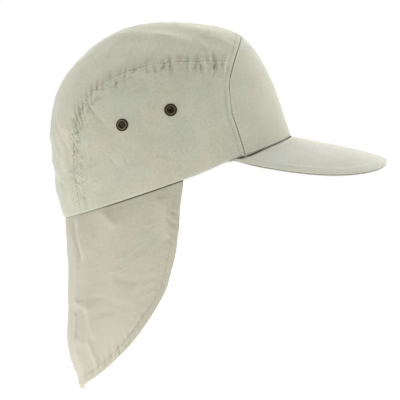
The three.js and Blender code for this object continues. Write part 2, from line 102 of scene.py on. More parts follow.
# folds of the crown: middle as shares, heading, then reach and breadth as shares of the half
# length and height in millimetres
crownFolds = np.array([
    (0.3, -0.5, 0.87, 1, -0.6, -0.25, 0.3, 0.07, 2.4),
    (0.1, -0.45, 0.93, 1, -0.2, -0.1, 0.32, 0.12, -1.1),
    (0.66, -0.42, 0.76, 1, -0.5, -0.5, 0.2, 0.08, 1.4),
    (0.6, -0.78, 0.5, 0.7, 0.3, -1, 0.2, 0.07, -1.2),
    (-0.84, -0.38, 0.4, 0, 0.1, 1, 0.4, 0.1, -1.6),
    (-0.9, 0.2, 0.52, 0.3, 0.4, 1, 0.3, 0.12, -1.2),
    (0.15, 0.42, 0.93, 1, 0.5, -0.1, 0.3, 0.1, 1.6),
    (-0.45, 0.3, 0.9, 0.8, -0.6, 0.5, 0.3, 0.12, -1.2),
    (0.05, -0.97, 0.2, 1, 0, 0.3, 0.5, 0.16, -1.0),
    (-0.3, 0.95, 0.25, 1, 0, -0.3, 0.45, 0.15, -1.0),
    (0.55, 0.8, 0.48, 0.7, -0.3, -1, 0.2, 0.08, -1.2),
    # finer ones, sewn in or worn in
    (0.346, -0.554, 0.826, 0.74, -0.43, -0.52, 0.2, 0.03, 1.2),
    (0.44, -0.66, 0.75, 0.4, -0.6, -0.7, 0.12, 0.03, -0.9),
    (0.69, -0.49, 0.73, 0.8, 0.04, -0.6, 0.13, 0.03, 0.95),
    (0.568, -0.792, 0.53, 0.49, 0, -0.87, 0.13, 0.028, 1.1),
    (0.27, -0.8, 0.69, -0.26, -0.57, -0.78, 0.1, 0.018, -0.7),
    (0.62, -0.71, 0.616, -0.28, -0.55, -0.79, 0.08, 0.018, -0.6),
    (-0.82, -0.45, 0.34, 0.5, -0.3, -1, 0.14, 0.03, 0.8),
    (-0.86, -0.36, 0.3, 0.45, -0.35, -1, 0.16, 0.03, -0.7),
    (-0.8, -0.44, 0.48, 0.5, -0.2, -0.8, 0.13, 0.028, 0.7),
    (-0.83, -0.47, 0.14, 0.25, -0.2, -1, 0.14, 0.035, 0.7),
    (-0.8, 0.46, 0.42, 0.5, 0.25, -0.9, 0.15, 0.03, 0.7),
    (0.5, 0.66, 0.74, 0.7, 0.5, -0.5, 0.15, 0.03, 0.5),
])


def unit(vectors):
    return vectors / np.linalg.norm(vectors, axis=-1, keepdims=True)


def smooth(value, low, high):
    t = np.clip((value - low) / (high - low), 0, 1)
    return t * t * (3 - 2 * t)


def hump(value, width):
    return np.exp(-(value / width) ** 2)


def mix(a, b, share):
    return a + (b - a) * share


# from a to b as t goes from 0 to 1, with the slopes at both ends
def bridge(t, a, b, leave, arrive):
    start = 2 * t**3 - 3 * t**2 + 1
    return start * a + (1 - start) * b + (t**3 - 2 * t**2 + t) * leave + (t**3 - t**2) * arrive


# a column of a table at x, on a smooth curve through its rows
def readRows(rows, column, x):
    at, value = rows[:, 0], rows[:, column]
    last = len(rows) - 1
    before, after = np.maximum(np.arange(last + 1) - 1, 0), np.minimum(np.arange(last + 1) + 1, last)
    slope = (value[after] - value[before]) / (at[after] - at[before])
    i = np.clip(np.searchsorted(at, x, side="left") - 1, 0, last - 1)
    step = at[i + 1] - at[i]
    t = np.clip((x - at[i]) / step, 0, 1)
    return bridge(t, value[i], value[i + 1], step * slope[i], step * slope[i + 1])


def plainCrown(places):
    heading = unit(places)
    level = np.hypot(heading[..., 0], heading[..., 1])
    angle = np.degrees(np.arctan2(heading[..., 2], level))
    forward = heading[..., 0] / np.maximum(level, 1e-9)
    power = crown["planPower"]
    plan = (np.abs(heading[..., :2] / halves[:2]) ** power).sum(-1)
    plain = 1 / np.sqrt(plan ** (2 / power) + (heading[..., 2] / halves[2]) ** 2)
    end = np.where(forward > 0, readRows(crownBulge, 1, angle), readRows(crownBulge, 2, angle))
    side = readRows(crownBulge, 3, angle)
    return heading * (plain * (end * forward**2 + side * (1 - forward**2)))[..., None]


def foldHeight(plain):
    height = 0
    for row in crownFolds:
        middle = plainCrown(row[:3] * halves)
        heading = row[3:6] - middle * (row[3:6] @ middle) / (middle @ middle)
        heading = unit(heading)
        away = plain - middle
        along = away @ heading
        beside = np.sqrt(np.maximum((away**2).sum(-1) - along**2, 0))
        reach, breadth = row[6:8] * halves[0]
        height = height + row[8] * hump(along, reach) * hump(beside, breadth)
    return height * smooth(plain[..., 2], 0, crown["foldFade"])


# slow waves with no order, the same each run
def waves(places, sizes, seed):
    dice = np.random.default_rng(seed)
    total = 0
    for size in sizes:
        for _ in range(3):
            heading = unit(dice.normal(size=3))
            total = total + np.sin(places @ heading * (2 * math.pi / size) + dice.uniform(0, 6.28))
    return total / (3 * len(sizes))


# short creases and ridges of crumpled cloth, sharp along their crest
def crumple(places, size, seed):
    dice = np.random.default_rng(seed)
    shifts = [waves(places, (1.9 * size, 3.1 * size), seed + k) for k in (1, 2, 3)]
    bent = places + 0.5 * size * np.stack(shifts, -1)
    total = 0
    for k in range(6):
        heading = unit(dice.normal(size=3))
        period = size * dice.uniform(1.3, 2.6)
        wave = np.sin(bent @ heading * (2 * math.pi / period) + dice.uniform(0, 6.28))
        strength = smooth(waves(places, (2.2 * size, 4 * size), seed + 10 + k), -0.05, 0.5)
        total = total + (-1) ** k * strength * (1 - np.abs(wave)) ** 2.5
    return total


def onCrown(places):
    plain = plainCrown(places)
    return plain + unit(plain) * foldHeight(plain)[..., None]


def crownNormal(places):
    step = 0.5
    side = np.stack([-places[..., 1], places[..., 0], 0 * places[..., 0]], -1)
    side[..., 1] += np.linalg.norm(side, axis=-1) < step
    side = unit(side) * step
    rise = unit(np.cross(places, side)) * step
    a = onCrown(places + side) - onCrown(places - side)
    b = onCrown(places + rise) - onCrown(places - rise)
    normal = unit(np.cross(a, b))
    return normal * np.sign((normal * places).sum(-1, keepdims=True))


def worn(places):
    c, s = math.cos(crown["tilt"]), math.sin(crown["tilt"])
    x, y, z = (places[..., k] for k in range(3))
    return np.stack([x * c - z * s, y, x * s + z * c], -1)


def mirrored(places):
    return places * np.array([1, -1, 1])


def rimPoint(degrees):
    turn = np.radians(degrees)
    return onCrown(np.stack([np.cos(turn), np.sin(turn), 0 * turn], -1) * halves)


def turnOfRim(place):
    return math.degrees(math.atan2(place[1] / halves[1], place[0] / halves[0]))


def arcLengths(line):
    return np.concatenate([[0], np.cumsum(np.linalg.norm(np.diff(line, axis=0), axis=1))])


def evenly(line, count):
    arc = arcLengths(line)
    at = np.linspace(0, arc[-1], count)
    return np.stack([np.interp(at, arc, line[:, k]) for k in range(line.shape[1])], 1)


# smooth line through points, with steps by their spacing so that it never loops
def smoothLine(points, count=420):
    ends = [2 * points[0] - points[1], *points, 2 * points[-1] - points[-2]]
    parts = []
    for a, b, c, d in zip(ends, ends[1:], ends[2:], ends[3:]):
        ta, tb, tc = (np.linalg.norm(q - p) ** 0.5 for p, q in ((a, b), (b, c), (c, d)))
        leave = ((b - a) / ta - (c - a) / (ta + tb) + (c - b) / tb) * tb
        arrive = ((c - b) / tb - (d - b) / (tb + tc) + (d - c) / tc) * tb
        parts.append(bridge(np.linspace(0, 1, 60, endpoint=False)[:, None], b, c, leave, arrive))
    return evenly(np.vstack([*parts, points[-1][None]]), count)


def seamLine(points):
    return onCrown(smoothLine(points))


def along(line, t):
    at = np.linspace(0, 1, len(line))
    return np.stack([np.interp(t, at, line[:, k]) for k in range(3)], -1)


# distance of places from a line, and how far along it they are
def nearest(places, line):
    flat = places.reshape(-1, 3)
    arc = arcLengths(line)
    step = np.diff(line, axis=0)
    size = (step**2).sum(1)
    away, where = np.empty(len(flat)), np.empty(len(flat))
    for first in range(0, len(flat), 3000):
        part = flat[first:first + 3000]
        near = ((part[:, None] - line[None]) ** 2).sum(2).argmin(1)
        found = []
        for segment in (np.maximum(near - 1, 0), np.minimum(near, len(step) - 1)):
            t = np.clip(((part - line[segment]) * step[segment]).sum(1) / size[segment], 0, 1)
            gap = np.linalg.norm(part - line[segment] - step[segment] * t[:, None], axis=1)
            found.append((gap, arc[segment] + t * np.sqrt(size[segment])))
        (gapA, arcA), (gapB, arcB) = found
        away[first:first + 3000] = np.minimum(gapA, gapB)
        where[first:first + 3000] = np.where(gapA < gapB, arcA, arcB)
    return away.reshape(places.shape[:-1]), where.reshape(places.shape[:-1])


topLeft, lowerLeft, upperLeft = (onCrown(row * halves) for row in (topSeam, frontSeamLower, frontSeamUpper))
topLine, lowerLine = seamLine(topLeft), seamLine(lowerLeft)
upperLine = seamLine(np.vstack([mirrored(upperLeft), upperLeft[::-1]]))
frontLine = np.vstack([lowerLine, upperLine[::-1][1:len(upperLine) // 2 + 1]])


# shares of an edge for grid lines, close together near its ends where the sewing is
def graded(length, middle, start=None, finish=None, band=18.0):
    at = np.linspace(0, length, 900)
    spacing = np.full(900, float(middle))
    for fine, away in ((start, at), (finish, length - at)):
        if fine:
            spacing = np.minimum(spacing, mix(fine, middle, smooth(away, band * 0.1, band)))
    steps = np.concatenate([[0], np.cumsum(np.diff(at) / spacing[1:])])
    count = int(round(steps[-1]))
    return np.interp(np.linspace(0, steps[-1], count + 1), steps, at) / length


# length, spacing in the middle and at the start and finish, and how far in the fine part reaches
gridSteps = {
    "front": ((140, 1.5, 0.4, 0.4), (100, 1.5, 0.4, 0.4)),
    "top": ((160, 2.1, 0.5, 0.5, 20), (300, 0.95, 0.6, 0.45)),
    "side": ((200, 0.95, None, 0.4), (95, 1.5, 0.4, 0.45, 20)),
    "flap": ((300, 1.7, 0.5, 0.5), (150, 1.5, 0.7, 0.5)),
}


def gridShares(name):
    return [graded(*steps) for steps in gridSteps[name]]


def patch(bottom, top, start, end, s, t):
    s3, t3 = s[:, None, None], t[None, :, None]
    spread = (1 - t3) * bottom[:, None] + t3 * top[:, None] + (1 - s3) * start[None] + s3 * end[None]
    corners = (1 - s3) * ((1 - t3) * bottom[0] + t3 * top[0])
    corners = corners + s3 * ((1 - t3) * bottom[-1] + t3 * top[-1])
    return onCrown(spread - corners)


sewing = {
    "topRow": 3.75,        # stitch rows each side of the seam over the crown
    "topBand": 4.9,        # half breadth of the raised band under them
    "topRise": 0.35,
    "topGroove": 0.12,
    "frontRow": 4.4,       # stitch row behind the seam of the front panel
    "frontBand": 5.6,
    "frontRise": 0.25,
    "frontGroove": 0.45,
    "seamShadeGap": (48.0, 9.0),  # stretch of that seam, from the hem, where its painted shade fades
    "threadDent": 0.3,
    "threadRise": 0.08,    # the stitches' middle above the cloth
    "topSpan": (0.01, 0.965),   # stretch of each seam that its rows follow
    "frontSpan": (0.01, 0.98),
    "holePitch": 2.9,      # needle holes, where the thread goes in
    "pucker": 1.1,
    "puckerShare": 0.4,    # of even gathers in it, beside the small creases
    "frontGathers": (0.2, 0.35),    # on the panel and on the side
    "edgeRoll": 0.5,       # the panel's edge turns in
    "crease": (0.4, 0.65),    # ridge and valley of each crease, as height and as painted highlight and shade
    "creaseLightShade": (0.25, 0.4),
    "frontHighlight": 0.4,
    "rowShade": 0.25,
    "hemBand": 9.0,
    "hemRise": 0.12,
    "hemLightShade": (0.7, 1.1),    # painted highlight beside the edge and painted shadow on it
    "deepest": 1.6,
    "flapRow": 5.6,
    "flapBand": 6.3,
    "flapRise": 0.45,
    "flapPucker": 0.9,
}

# pucker of the seam over the crown, by distance from the hem at the back
puckerRows = np.array([
    (0, 0.35), (20, 0.75), (60, 1.0), (100, 1.0), (130, 1.0), (165, 1.1), (200, 1.5), (225, 1.1),
])
# creases across it: distance along and to the top panel's side, slant, breadth, reach, depth
seamCreases = np.array([
    (14, 2, 0.6, 1.4, 5, 0.6), (24, 3, 0.8, 1.3, 5, 0.8), (33, 4, 0.9, 1.3, 5, 0.8),
    (40, 5, 1.0, 1.2, 6, 0.9), (47, 4, 1.0, 1.2, 6, 1.1), (53, 4, 1.0, 1.2, 6, 1.0),
    (60, 5, 0.8, 1.3, 6, 0.8), (69, 3, 0.9, 1.2, 7, 1.1), (74, 4, 0.9, 1.2, 7, 1.2),
    (79, 3, 0.9, 1.2, 7, 1.3), (85, 3, 0.8, 1.3, 7, 1.0), (93, 5, 0.6, 1.3, 6, 0.7),
    (99, 6, 0.5, 1.4, 6, 1.1), (105, 6, 0.5, 1.4, 6, 1.1), (111, 4, 0.4, 1.2, 5, 0.8),
    (119, 5, 0.3, 1.3, 5, 0.9), (124, -3, 0.3, 1.3, 5, 0.9), (128, 6, 0.3, 1.2, 5, 0.8),
    (132, 1, 0.35, 1.4, 8, 1.1), (141, 4, 0.2, 1.3, 5, 0.6), (151, 4, 0.1, 1.3, 5, 0.7),
    (158, -1, 0.1, 1.2, 5, 1.0), (164, 5, 0, 1.2, 4, 0.8), (171, 2, 0, 1.3, 8, 1.6),
    (180, 5, 0, 1.4, 5, 0.5), (191, 3, 0, 1.4, 5, 0.6), (202, 5, 0, 1.3, 6, 0.8),
    (209, 6, 0, 1.4, 9, 1.0), (215, -1, 0.2, 1.2, 4, 1.0), (185, 3, 0.1, 1.2, 7, 1.0),
    (196, 2, -0.2, 1.2, 8, 1.2), (204, -2, 0.3, 1.1, 5, 0.7),
])


# small gathers along a seam: rounded between sharp creases, of uneven length
def gathers(arc, size, seed):
    dice = np.random.default_rng(seed)
    a, b, c = dice.uniform(0, 6.28, 3)
    warped = arc + 2.2 * np.sin(arc / 17.3 + a) + 1.4 * np.sin(arc / 7.1 + b)
    strength = 0.62 + 0.38 * np.sin(arc / 23.7 + c)
    return (np.abs(np.sin(math.pi * warped / size)) - 0.55) * strength


# how far the cloth stands out, its painted shade and highlight with some wear, where it lies from the
# sewing, and how strong the painted shade along that sewing is
def crownRelief(places, panel):
    folded = places * np.array([1, 0, 1]) + np.abs(places) * np.array([0, 1, 0])
    topAway, topArc = nearest(folded, topLine)
    frontAway, frontArc = nearest(folded, frontLine)
    height = places[..., 2]
    hand = np.where(places[..., 1] < 0, 0.0, 40.0)
    low = smooth(height, 2, 26)
    calm = smooth(frontAway, 0, 9)
    busy = 0.35 + 0.65 * np.maximum(hump(topAway, 26), smooth(-places[..., 0], 55, 85))
    lift = crown["unevenness"] * waves(places, (22, 34, 55), 5) * low * calm
    lift += crown["crumple"] * crumple(places, crown["creaseSize"], 43) * low * calm * busy
    # strength of the painted shade along the nearest stitch row (rowDark) and along the front seam line
    # (seamDark)
    rowAway, rowArc = frontAway - sewing["frontRow"], frontArc
    rowDark = 0.4 + 0 * lift
    # painted shade along the front seam line, mostly faded over one stretch of it
    seamDark = 1 - 0.85 * hump(frontArc - sewing["seamShadeGap"][0], sewing["seamShadeGap"][1])
    if panel == "front":
        lift = lift * crown["stiffShare"] - sewing["edgeRoll"] * (1 - smooth(frontAway, 0.05, 0.9))
        # painted highlight along the turned-in edge beside the seam
        wear = sewing["frontHighlight"] * hump(frontAway - 1.5, 0.8)
        pulled = gathers(frontArc + hand, 9, 31) * hump(frontAway - 2, 3.2)
        lift += sewing["frontGathers"][0] * pulled * low
        rowDark = 0 * lift
    else:
        band = 1 - smooth(frontAway, sewing["frontBand"] - 0.5, sewing["frontBand"] + 0.6)
        lift += sewing["frontRise"] * band - sewing["frontGroove"] * (1 - smooth(frontAway, 0, 0.6))
        lift -= sewing["threadDent"] * hump(frontAway - sewing["frontRow"], 0.7)
        pulled = gathers(frontArc + hand, 8, 17) * hump(frontAway - 5, 4)
        lift += sewing["frontGathers"][1] * pulled * low
        # painted shade in the needle dimples of the stitch row
        wear = -sewing["rowShade"] * hump(frontAway - sewing["frontRow"], 1.0)
        free = smooth(frontAway, 4, 9)
        band = (1 - smooth(topAway, sewing["topBand"] - 0.4, sewing["topBand"] + 0.6)) * free
        lift += sewing["topRise"] * band - sewing["topGroove"] * hump(topAway, 0.4) * free
        slant = 1.1 if panel == "top" else -0.5
        back = 1 - smooth(topArc, 90, 150)
        amount = readRows(puckerRows, 1, topArc) * sewing["pucker"]
        pulled = sewing["puckerShare"] * gathers(topArc + hand + slant * back * topAway, 8.5, 11)
        pulled = (pulled + crumple(places, 6.0, 61)) * hump(topAway - 1, 8) * free * smooth(topArc, 4, 16)
        lift += amount * pulled
        # painted shade in the hollows of the puckers
        wear += 0.4 * np.minimum(pulled, 0.1) * np.minimum(amount, 1.3)
        beside = topAway * (1 if panel == "top" else -1)
        for at, offset, lean, breadth, reach, depth in seamCreases:
            across = topArc - at - lean * beside
            part = depth * hump(beside - offset, reach) * free * low
            valley, ahead = hump(across, breadth), across - 2.3 * breadth
            (rise, sink), (rubbed, paintedShade) = sewing["crease"], sewing["creaseLightShade"]
            # each crease gets a painted highlight on its ridge and painted shade in its valley
            lift += part * (rise * hump(ahead, 1.3 * breadth) - sink * valley)
            wear += part * (rubbed * hump(ahead, 1.2 * breadth) - paintedShade * valley)
        ours = topAway - sewing["topRow"]
        onTop = (np.abs(ours) < np.abs(rowAway)) & (free > 0.2)
        rowAway, rowArc = np.where(onTop, ours, rowAway), np.where(onTop, topArc, rowArc)
        rowDark = np.where(onTop, (1.0 if panel == "top" else 0.22) * free, rowDark)
        if panel == "top":
            lift -= sewing["threadDent"] * hump(ours, 0.5) * free
            # painted shade over the hollow beside the seam, and a painted highlight along the raised band
            shaded = hump(topAway - 7, 5.5) * smooth(topArc, 60, 110)
            wear += 0.3 * hump(ours + 1.2, 0.7) * free - 0.3 * shaded * free
    hem = 1 - smooth(height, sewing["hemBand"] - 2, sewing["hemBand"] + 2)
    lift += sewing["hemRise"] * hem - 0.7 * (1 - smooth(height, 0.1, 1.0))
    # a painted highlight on the hem's roll and a painted shadow line at its edge, where the flap comes out
    rubbed, paintedShade = sewing["hemLightShade"]
    wear += rubbed * hump(height - 1.1, 0.6) - paintedShade * hump(height, 0.45)
    sewn = np.stack([rowAway, rowArc, frontAway], -1)
    dark = np.stack([rowDark, seamDark, 0 * rowDark], -1)
    return np.maximum(lift, -sewing["deepest"]), wear, sewn, dark


print("cloth and metal")


# wraps a socket, so that maths on it reads as an expression
class Wire:
    def __init__(self, book, socket):
        self.book = book
        self.socket = socket

    def calc(self, operation, *values):
        return self.book.add("ShaderNodeMath", dict(enumerate(values)), operation=operation)

    def __add__(self, other):
        return self.calc("ADD", self, other)

    def __mul__(self, other):
        return self.calc("MULTIPLY", self, other)

    def __sub__(self, other):
        return self.calc("SUBTRACT", self, other)

    def __rsub__(self, other):
        return self.calc("SUBTRACT", other, self)

    def __truediv__(self, other):
        return self.calc("DIVIDE", self, other)

    def sine(self):
        return self.calc("SINE", self)

    def size(self):
        return self.calc("ABSOLUTE", self)

    def clamped(self):
        return self.calc("MINIMUM", self.calc("MAXIMUM", self, 0.0), 1.0)

    # x, y or z of a vector
    def axis(self, number):
        return self.book.add("ShaderNodeSeparateXYZ", {0: self}, number)

    # another output of the same node
    def beside(self, output):
        return Wire(self.book, self.socket.node.outputs[output])

    __radd__ = __add__
    __rmul__ = __mul__


# adds nodes to one tree
class NodeBook:
    def __init__(self, tree):
        self.tree = tree

    def add(self, kind, inputs=None, output=0, **settings):
        node = self.tree.nodes.new(kind)
        for name, value in settings.items():
            setattr(node, name, value)
        for name, value in (inputs or {}).items():
            socket = node.inputs[name]
            if isinstance(value, (Wire, list)):
                for wire in value if isinstance(value, list) else [value]:
                    self.tree.links.new(wire.socket, socket)
            else:
                socket.default_value = value
        return Wire(self, node.outputs[output]) if node.outputs else node

    def blend(self, share, a, b, how="MIX"):
        a, b = (colour if isinstance(colour, Wire) else (*colour, 1) for colour in (a, b))
        return self.add("ShaderNodeMix", {0: share, 6: a, 7: b}, 2, data_type="RGBA", blend_type=how)

    def vector(self, *values):
        return self.add("ShaderNodeCombineXYZ", dict(enumerate(values)))

    def noise(self, where, scale, detail):
        return self.add("ShaderNodeTexNoise", {"Vector": where, "Scale": scale, "Detail": detail})

    def bump(self, strength, distance, height):
        return self.add("ShaderNodeBump", {"Strength": strength, "Distance": distance, "Height": height})

    # an attribute of the mesh, a number unless the output says otherwise
    def stored(self, name, output=2):
        return self.add("ShaderNodeAttribute", {}, output, attribute_name=name)

    # the place in the piece's own frame
    def place(self):
        return self.add("ShaderNodeTexCoord", {}, 3)

    def finish(self, inputs):
        surface = self.add("ShaderNodeBsdfPrincipled", inputs)
        self.add("ShaderNodeOutputMaterial", {0: surface})


def newMaterial(name):
    material = bpy.data.materials.new(name)
    material.use_nodes = True
    material.node_tree.nodes.clear()
    return material, NodeBook(material.node_tree)


def put(name, data):
    thing = bpy.data.objects.new(name, data)
    scene.collection.objects.link(thing)
    return thing


cotton = {
    "crown": ((0.52, 0.52, 0.42), (0.455, 0.455, 0.36)),
    "front": ((0.52, 0.52, 0.42), (0.465, 0.465, 0.37)),
    # the peak's tones are lighter than the crown's: painted light on its upturned face
    "peak": ((0.57, 0.57, 0.485), (0.515, 0.515, 0.435)),
    "flap": ((0.492, 0.478, 0.378), (0.433, 0.42, 0.331)),
    "rosy": (1.025, 0.99, 0.967),    # slow change of hue in the dyed cloth
    "leafy": (0.976, 1.007, 1.01),
    "faded": (0.62, 0.585, 0.47),     # lower part of the flap
    "fadeHeights": (-0.03, -0.19),    # in metres
    "worn": (0.63, 0.62, 0.52),       # painted highlight on raised edges and ridges, with some wear
    "shadeTone": (0.25, 0.24, 0.17),      # painted shade along the seams, in creases and in hollows
    "deep": (0.035, 0.032, 0.02),     # darkest painted shade, at the bottom of them
    "thread": (0.47, 0.46, 0.365),
    "inside": (0.07, 0.064, 0.042),     # painted shade on the cloth's back, for the dark inside of the crown
    "yarnPitch": 0.62,
    "bump": (0.7, 0.0003),
    "rowReach": 0.5,          # half breadth of the painted shade along a stitch row
    "seamReach": 0.58,
    "roughness": 0.93,
    "sheen": 0.22,
    "shadeSpread": 2.6,       # contrast of the two tones, and of the hue
    "hueSpread": 2.4,
    "marks": (0.5, 0.65, 1.0, 0.8, 0.85),    # painted highlight with wear, painted shade, darkest painted shade, painted shade along stitch rows and along the seam
}


# plain woven cotton. The cloth map is in millimetres along the yarns
def makeCotton(part, fadeFrom=None):
    material, book = newMaterial(part + "Cotton")
    cloth = book.add("ShaderNodeUVMap", uv_map="cloth")
    across, down = cloth.axis(0), cloth.axis(1)
    yarn = 2 * math.pi / cotton["yarnPitch"]
    weave = (across * yarn).sine() * (down * yarn).sine()

    # uneven yarn: how fine across and down, and where in the noise it is read
    def slubs(a, b, seed):
        return book.noise(book.vector(across * a, down * b, seed), 1.0, 3.0)

    warp, weft = slubs(1.6, 0.07, 3.0), slubs(0.07, 1.6, 8.0)
    blotch, grain = slubs(0.045, 0.045, 1.0), slubs(1.1, 1.1, 5.0)
    fleck = slubs(0.45, 0.45, 17.0)
    uneven = blotch * 0.8 + warp * 0.5 + weft * 0.5 + grain * 0.6 + fleck * 0.9 - 1.65
    colour = book.blend((uneven * cotton["shadeSpread"] + 0.5).clamped(), *cotton[part])
    hue = slubs(0.03, 0.03, 12.0) + slubs(0.09, 0.09, 14.0) * 0.6
    hue = ((hue - 0.8) * cotton["hueSpread"] + 0.5).clamped()
    hue = book.blend(hue, cotton["rosy"], cotton["leafy"])
    colour = book.blend(1.0, colour, hue, "MULTIPLY")
    if fadeFrom is not None:
        high, low = fadeFrom
        fade = ((high - book.place().axis(2)) / (high - low) + (blotch - 0.5) * 0.5).clamped()
        colour = book.blend(fade, colour, cotton["faded"])
    sewn, dark = book.stored("sewn", 1), book.stored("dark", 1)
    rowAway, arc, seamAway = (sewn.axis(k) for k in range(3))
    rowDark, seamDark = (dark.axis(k) for k in range(2))
    # painted shade in the needle dimples along each stitch row, and the darkest painted shade in the crease
    # of the seam
    dashes = ((arc * (2 * math.pi / sewing["holePitch"])).sine() * 3.0 + 1.5).clamped()
    row = ((cotton["rowReach"] - rowAway.size()) * 4.0).clamped() * dashes * rowDark
    seam = ((cotton["seamReach"] - seamAway) * 4.0).clamped() * (dashes * 0.3 + 0.7) * seamDark
    wear = book.stored("wear")
    rubbed, paintedShade, deep, rowShare, seamShare = cotton["marks"]
    # lighter for painted highlight and wear, painted shade in hollows and seams, painted shade on the
    # cloth's back
    marks = (
        ((wear * rubbed).clamped(), "worn"),
        ((wear * -paintedShade).clamped(), "shadeTone"),
        ((wear * -deep - 1.0).clamped(), "deep"),
        (row * rowShare, "shadeTone"),
        (seam * seamShare, "deep"),
        (book.stored("inside"), "inside"),
    )
    for share, mark in marks:
        colour = book.blend(share, colour, cotton[mark])
    height = weave * 0.35 + warp * 0.5 + weft * 0.5 + grain * 0.6
    book.finish({
        "Base Color": colour,
        "Roughness": cotton["roughness"] - grain * 0.06,
        "Normal": book.bump(*cotton["bump"], height),
        "Sheen Weight": cotton["sheen"],
        "Sheen Roughness": 0.5,
        "Specular IOR Level": 0.25,
    })
    return material


def makeThread():
    material, book = newMaterial("sewingThread")
    fuzz = book.noise(book.place(), 900.0, 2.0)
    colour = book.blend(fuzz, cotton["thread"], tuple(c * 0.72 for c in cotton["thread"]))
    normal = book.bump(0.4, 0.0001, fuzz)
    book.finish({"Base Color": colour, "Roughness": 0.8 - fuzz * 0.1, "Normal": normal, "Sheen Weight": 0.2})
    return material


brass = {
    "dark": (0.03, 0.025, 0.012),
    "worn": (0.22, 0.2, 0.12),
    "roughness": 0.4,
}


# aged brass, dark where it is low and rubbed bright on the roll of the ring
def makeBrass():
    material, book = newMaterial("agedBrass")
    patina = book.noise(book.place(), 650.0, 4.0)
    rubbed = ((book.stored("raised") - 0.965) * 25 + (patina - 0.5) * 0.8).clamped()
    colour = book.blend(rubbed, brass["dark"], brass["worn"])
    book.finish({
        "Base Color": colour,
        "Metallic": 0.9,
        "Roughness": brass["roughness"] + patina * 0.2,
        "Normal": book.bump(0.3, 0.0001, patina),
    })
    return material


crownCotton, frontCotton, peakLitCotton = (makeCotton(part) for part in ("crown", "front", "peak"))
flapCotton = makeCotton("flap", cotton["fadeHeights"])
threadMaterial = makeThread()
brassMaterial = makeBrass()


def store(mesh, label, values, vector=True):
    data = mesh.attributes.new(label, "FLOAT_VECTOR" if vector else "FLOAT", "POINT").data
    data.foreach_set("vector" if vector else "value", np.ravel(values).astype(np.float32))


# closed cloth body through layers of grids, from its outer face to its inner one
def makeCloth(name, layers, clothMap, wear, material, shadeInside=False, sewn=None, dark=None):
    columns, rows = layers[0].shape[:2]
    size = columns * rows
    places = np.vstack([layer.reshape(-1, 3) for layer in layers]) / 1000
    index = np.arange(size).reshape(columns, rows)
    a, b, c, d = index[:-1, :-1], index[1:, :-1], index[1:, 1:], index[:-1, 1:]
    quads = [np.stack([a, b, c, d], -1).reshape(-1, 4)]
    quads.append(np.stack([a, d, c, b], -1).reshape(-1, 4) + size * (len(layers) - 1))
    border = np.concatenate([index[:, 0], index[-1, 1:], index[-2::-1, -1], index[0, -2:0:-1]])
    following = np.roll(border, -1)
    for layer in range(len(layers) - 1):
        near, far = size * layer, size * (layer + 1)
        quads.append(np.stack([border + near, border + far, following + far, following + near], -1))
    quads = np.vstack(quads)
    corner = places[quads]
    area = sum(np.cross(corner[:, k], corner[:, k + 1]) for k in (1, 2))
    if (corner[:, 0] * area).sum() < 0:
        quads = quads[:, ::-1]
    mesh = bpy.data.meshes.new(name)
    mesh.from_pydata(places, [], quads.tolist())
    spread = mesh.uv_layers.new(name="cloth")
    loops = np.empty(len(mesh.loops), dtype=np.int32)
    mesh.loops.foreach_get("vertex_index", loops)
    spread.data.foreach_set("uv", np.tile(clothMap.reshape(-1, 2), (len(layers), 1))[loops].ravel())
    # the last layer, the cloth's back, gets painted shade when asked
    inside = np.zeros((len(layers), size))
    inside[-1] = 1 if shadeInside else 0
    store(mesh, "wear", wear, False)
    store(mesh, "inside", inside, False)
    for label, values in (("sewn", sewn), ("dark", dark)):
        if values is not None:
            values = values.reshape(-1, 3)
            values = np.concatenate([values] + [0 * values] * (len(layers) - 1))
            store(mesh, label, values)
    tidy = bmesh.new()
    tidy.from_mesh(mesh)
    bmesh.ops.remove_doubles(tidy, verts=tidy.verts, dist=2e-6)
    bmesh.ops.dissolve_degenerate(tidy, edges=tidy.edges, dist=1e-7)
    tidy.to_mesh(mesh)
    tidy.free()
    mesh.shade_smooth()
    mesh.set_sharp_from_angle(angle=math.radians(48))
    mesh.materials.append(material)
    return put(name, mesh)


def crownPiece(name, panel, grid, cloth, clothMap, material):
    normal = crownNormal(grid)
    lift, wear, sewn, dark = crownRelief(grid, panel)
    drop = crown["hemDrop"] * (1 - smooth(grid[..., 2], 0, crown["hemDropFade"]))
    drop = drop * (1 - smooth(grid[..., 0], *crown["hemDropFrom"]))
    down = np.stack([0 * drop, 0 * drop, drop], -1)
    outer = worn(grid - down + normal * lift[..., None])
    inner = worn(grid - down - normal * (cloth - np.minimum(lift, 0) * (grid[..., 2] > 0.5))[..., None])
    return makeCloth(name, [outer, inner], clothMap, [wear, 0 * wear], material, True, sewn, dark)


print("front panel")
s, t = gridShares("front")
rimTurn = turnOfRim(lowerLine[0])
bottom = rimPoint(rimTurn * (2 * s - 1))
grid = patch(bottom, along(upperLine, s), along(mirrored(lowerLine), t), along(lowerLine, t), s, t)
clothMap = np.stack([np.arctan2(grid[..., 1], grid[..., 0]) * 95, grid[..., 2]], -1)
frontPanel = crownPiece("frontPanel", "front", grid, crown["frontCloth"], clothMap, frontCotton)

print("top panel")
s, t = gridShares("top")
rimTurn = turnOfRim(topLine[0])
bottom = rimPoint(-rimTurn + (2 * rimTurn - 360) * s)
grid = patch(bottom, along(upperLine, s), along(mirrored(topLine), t), along(topLine, t), s, t)
clothMap = np.stack([grid[..., 1], np.arctan2(grid[..., 2], grid[..., 0]) * 115], -1)
topPanel = crownPiece("topPanel", "top", grid, crown["sideCloth"], clothMap, crownCotton)

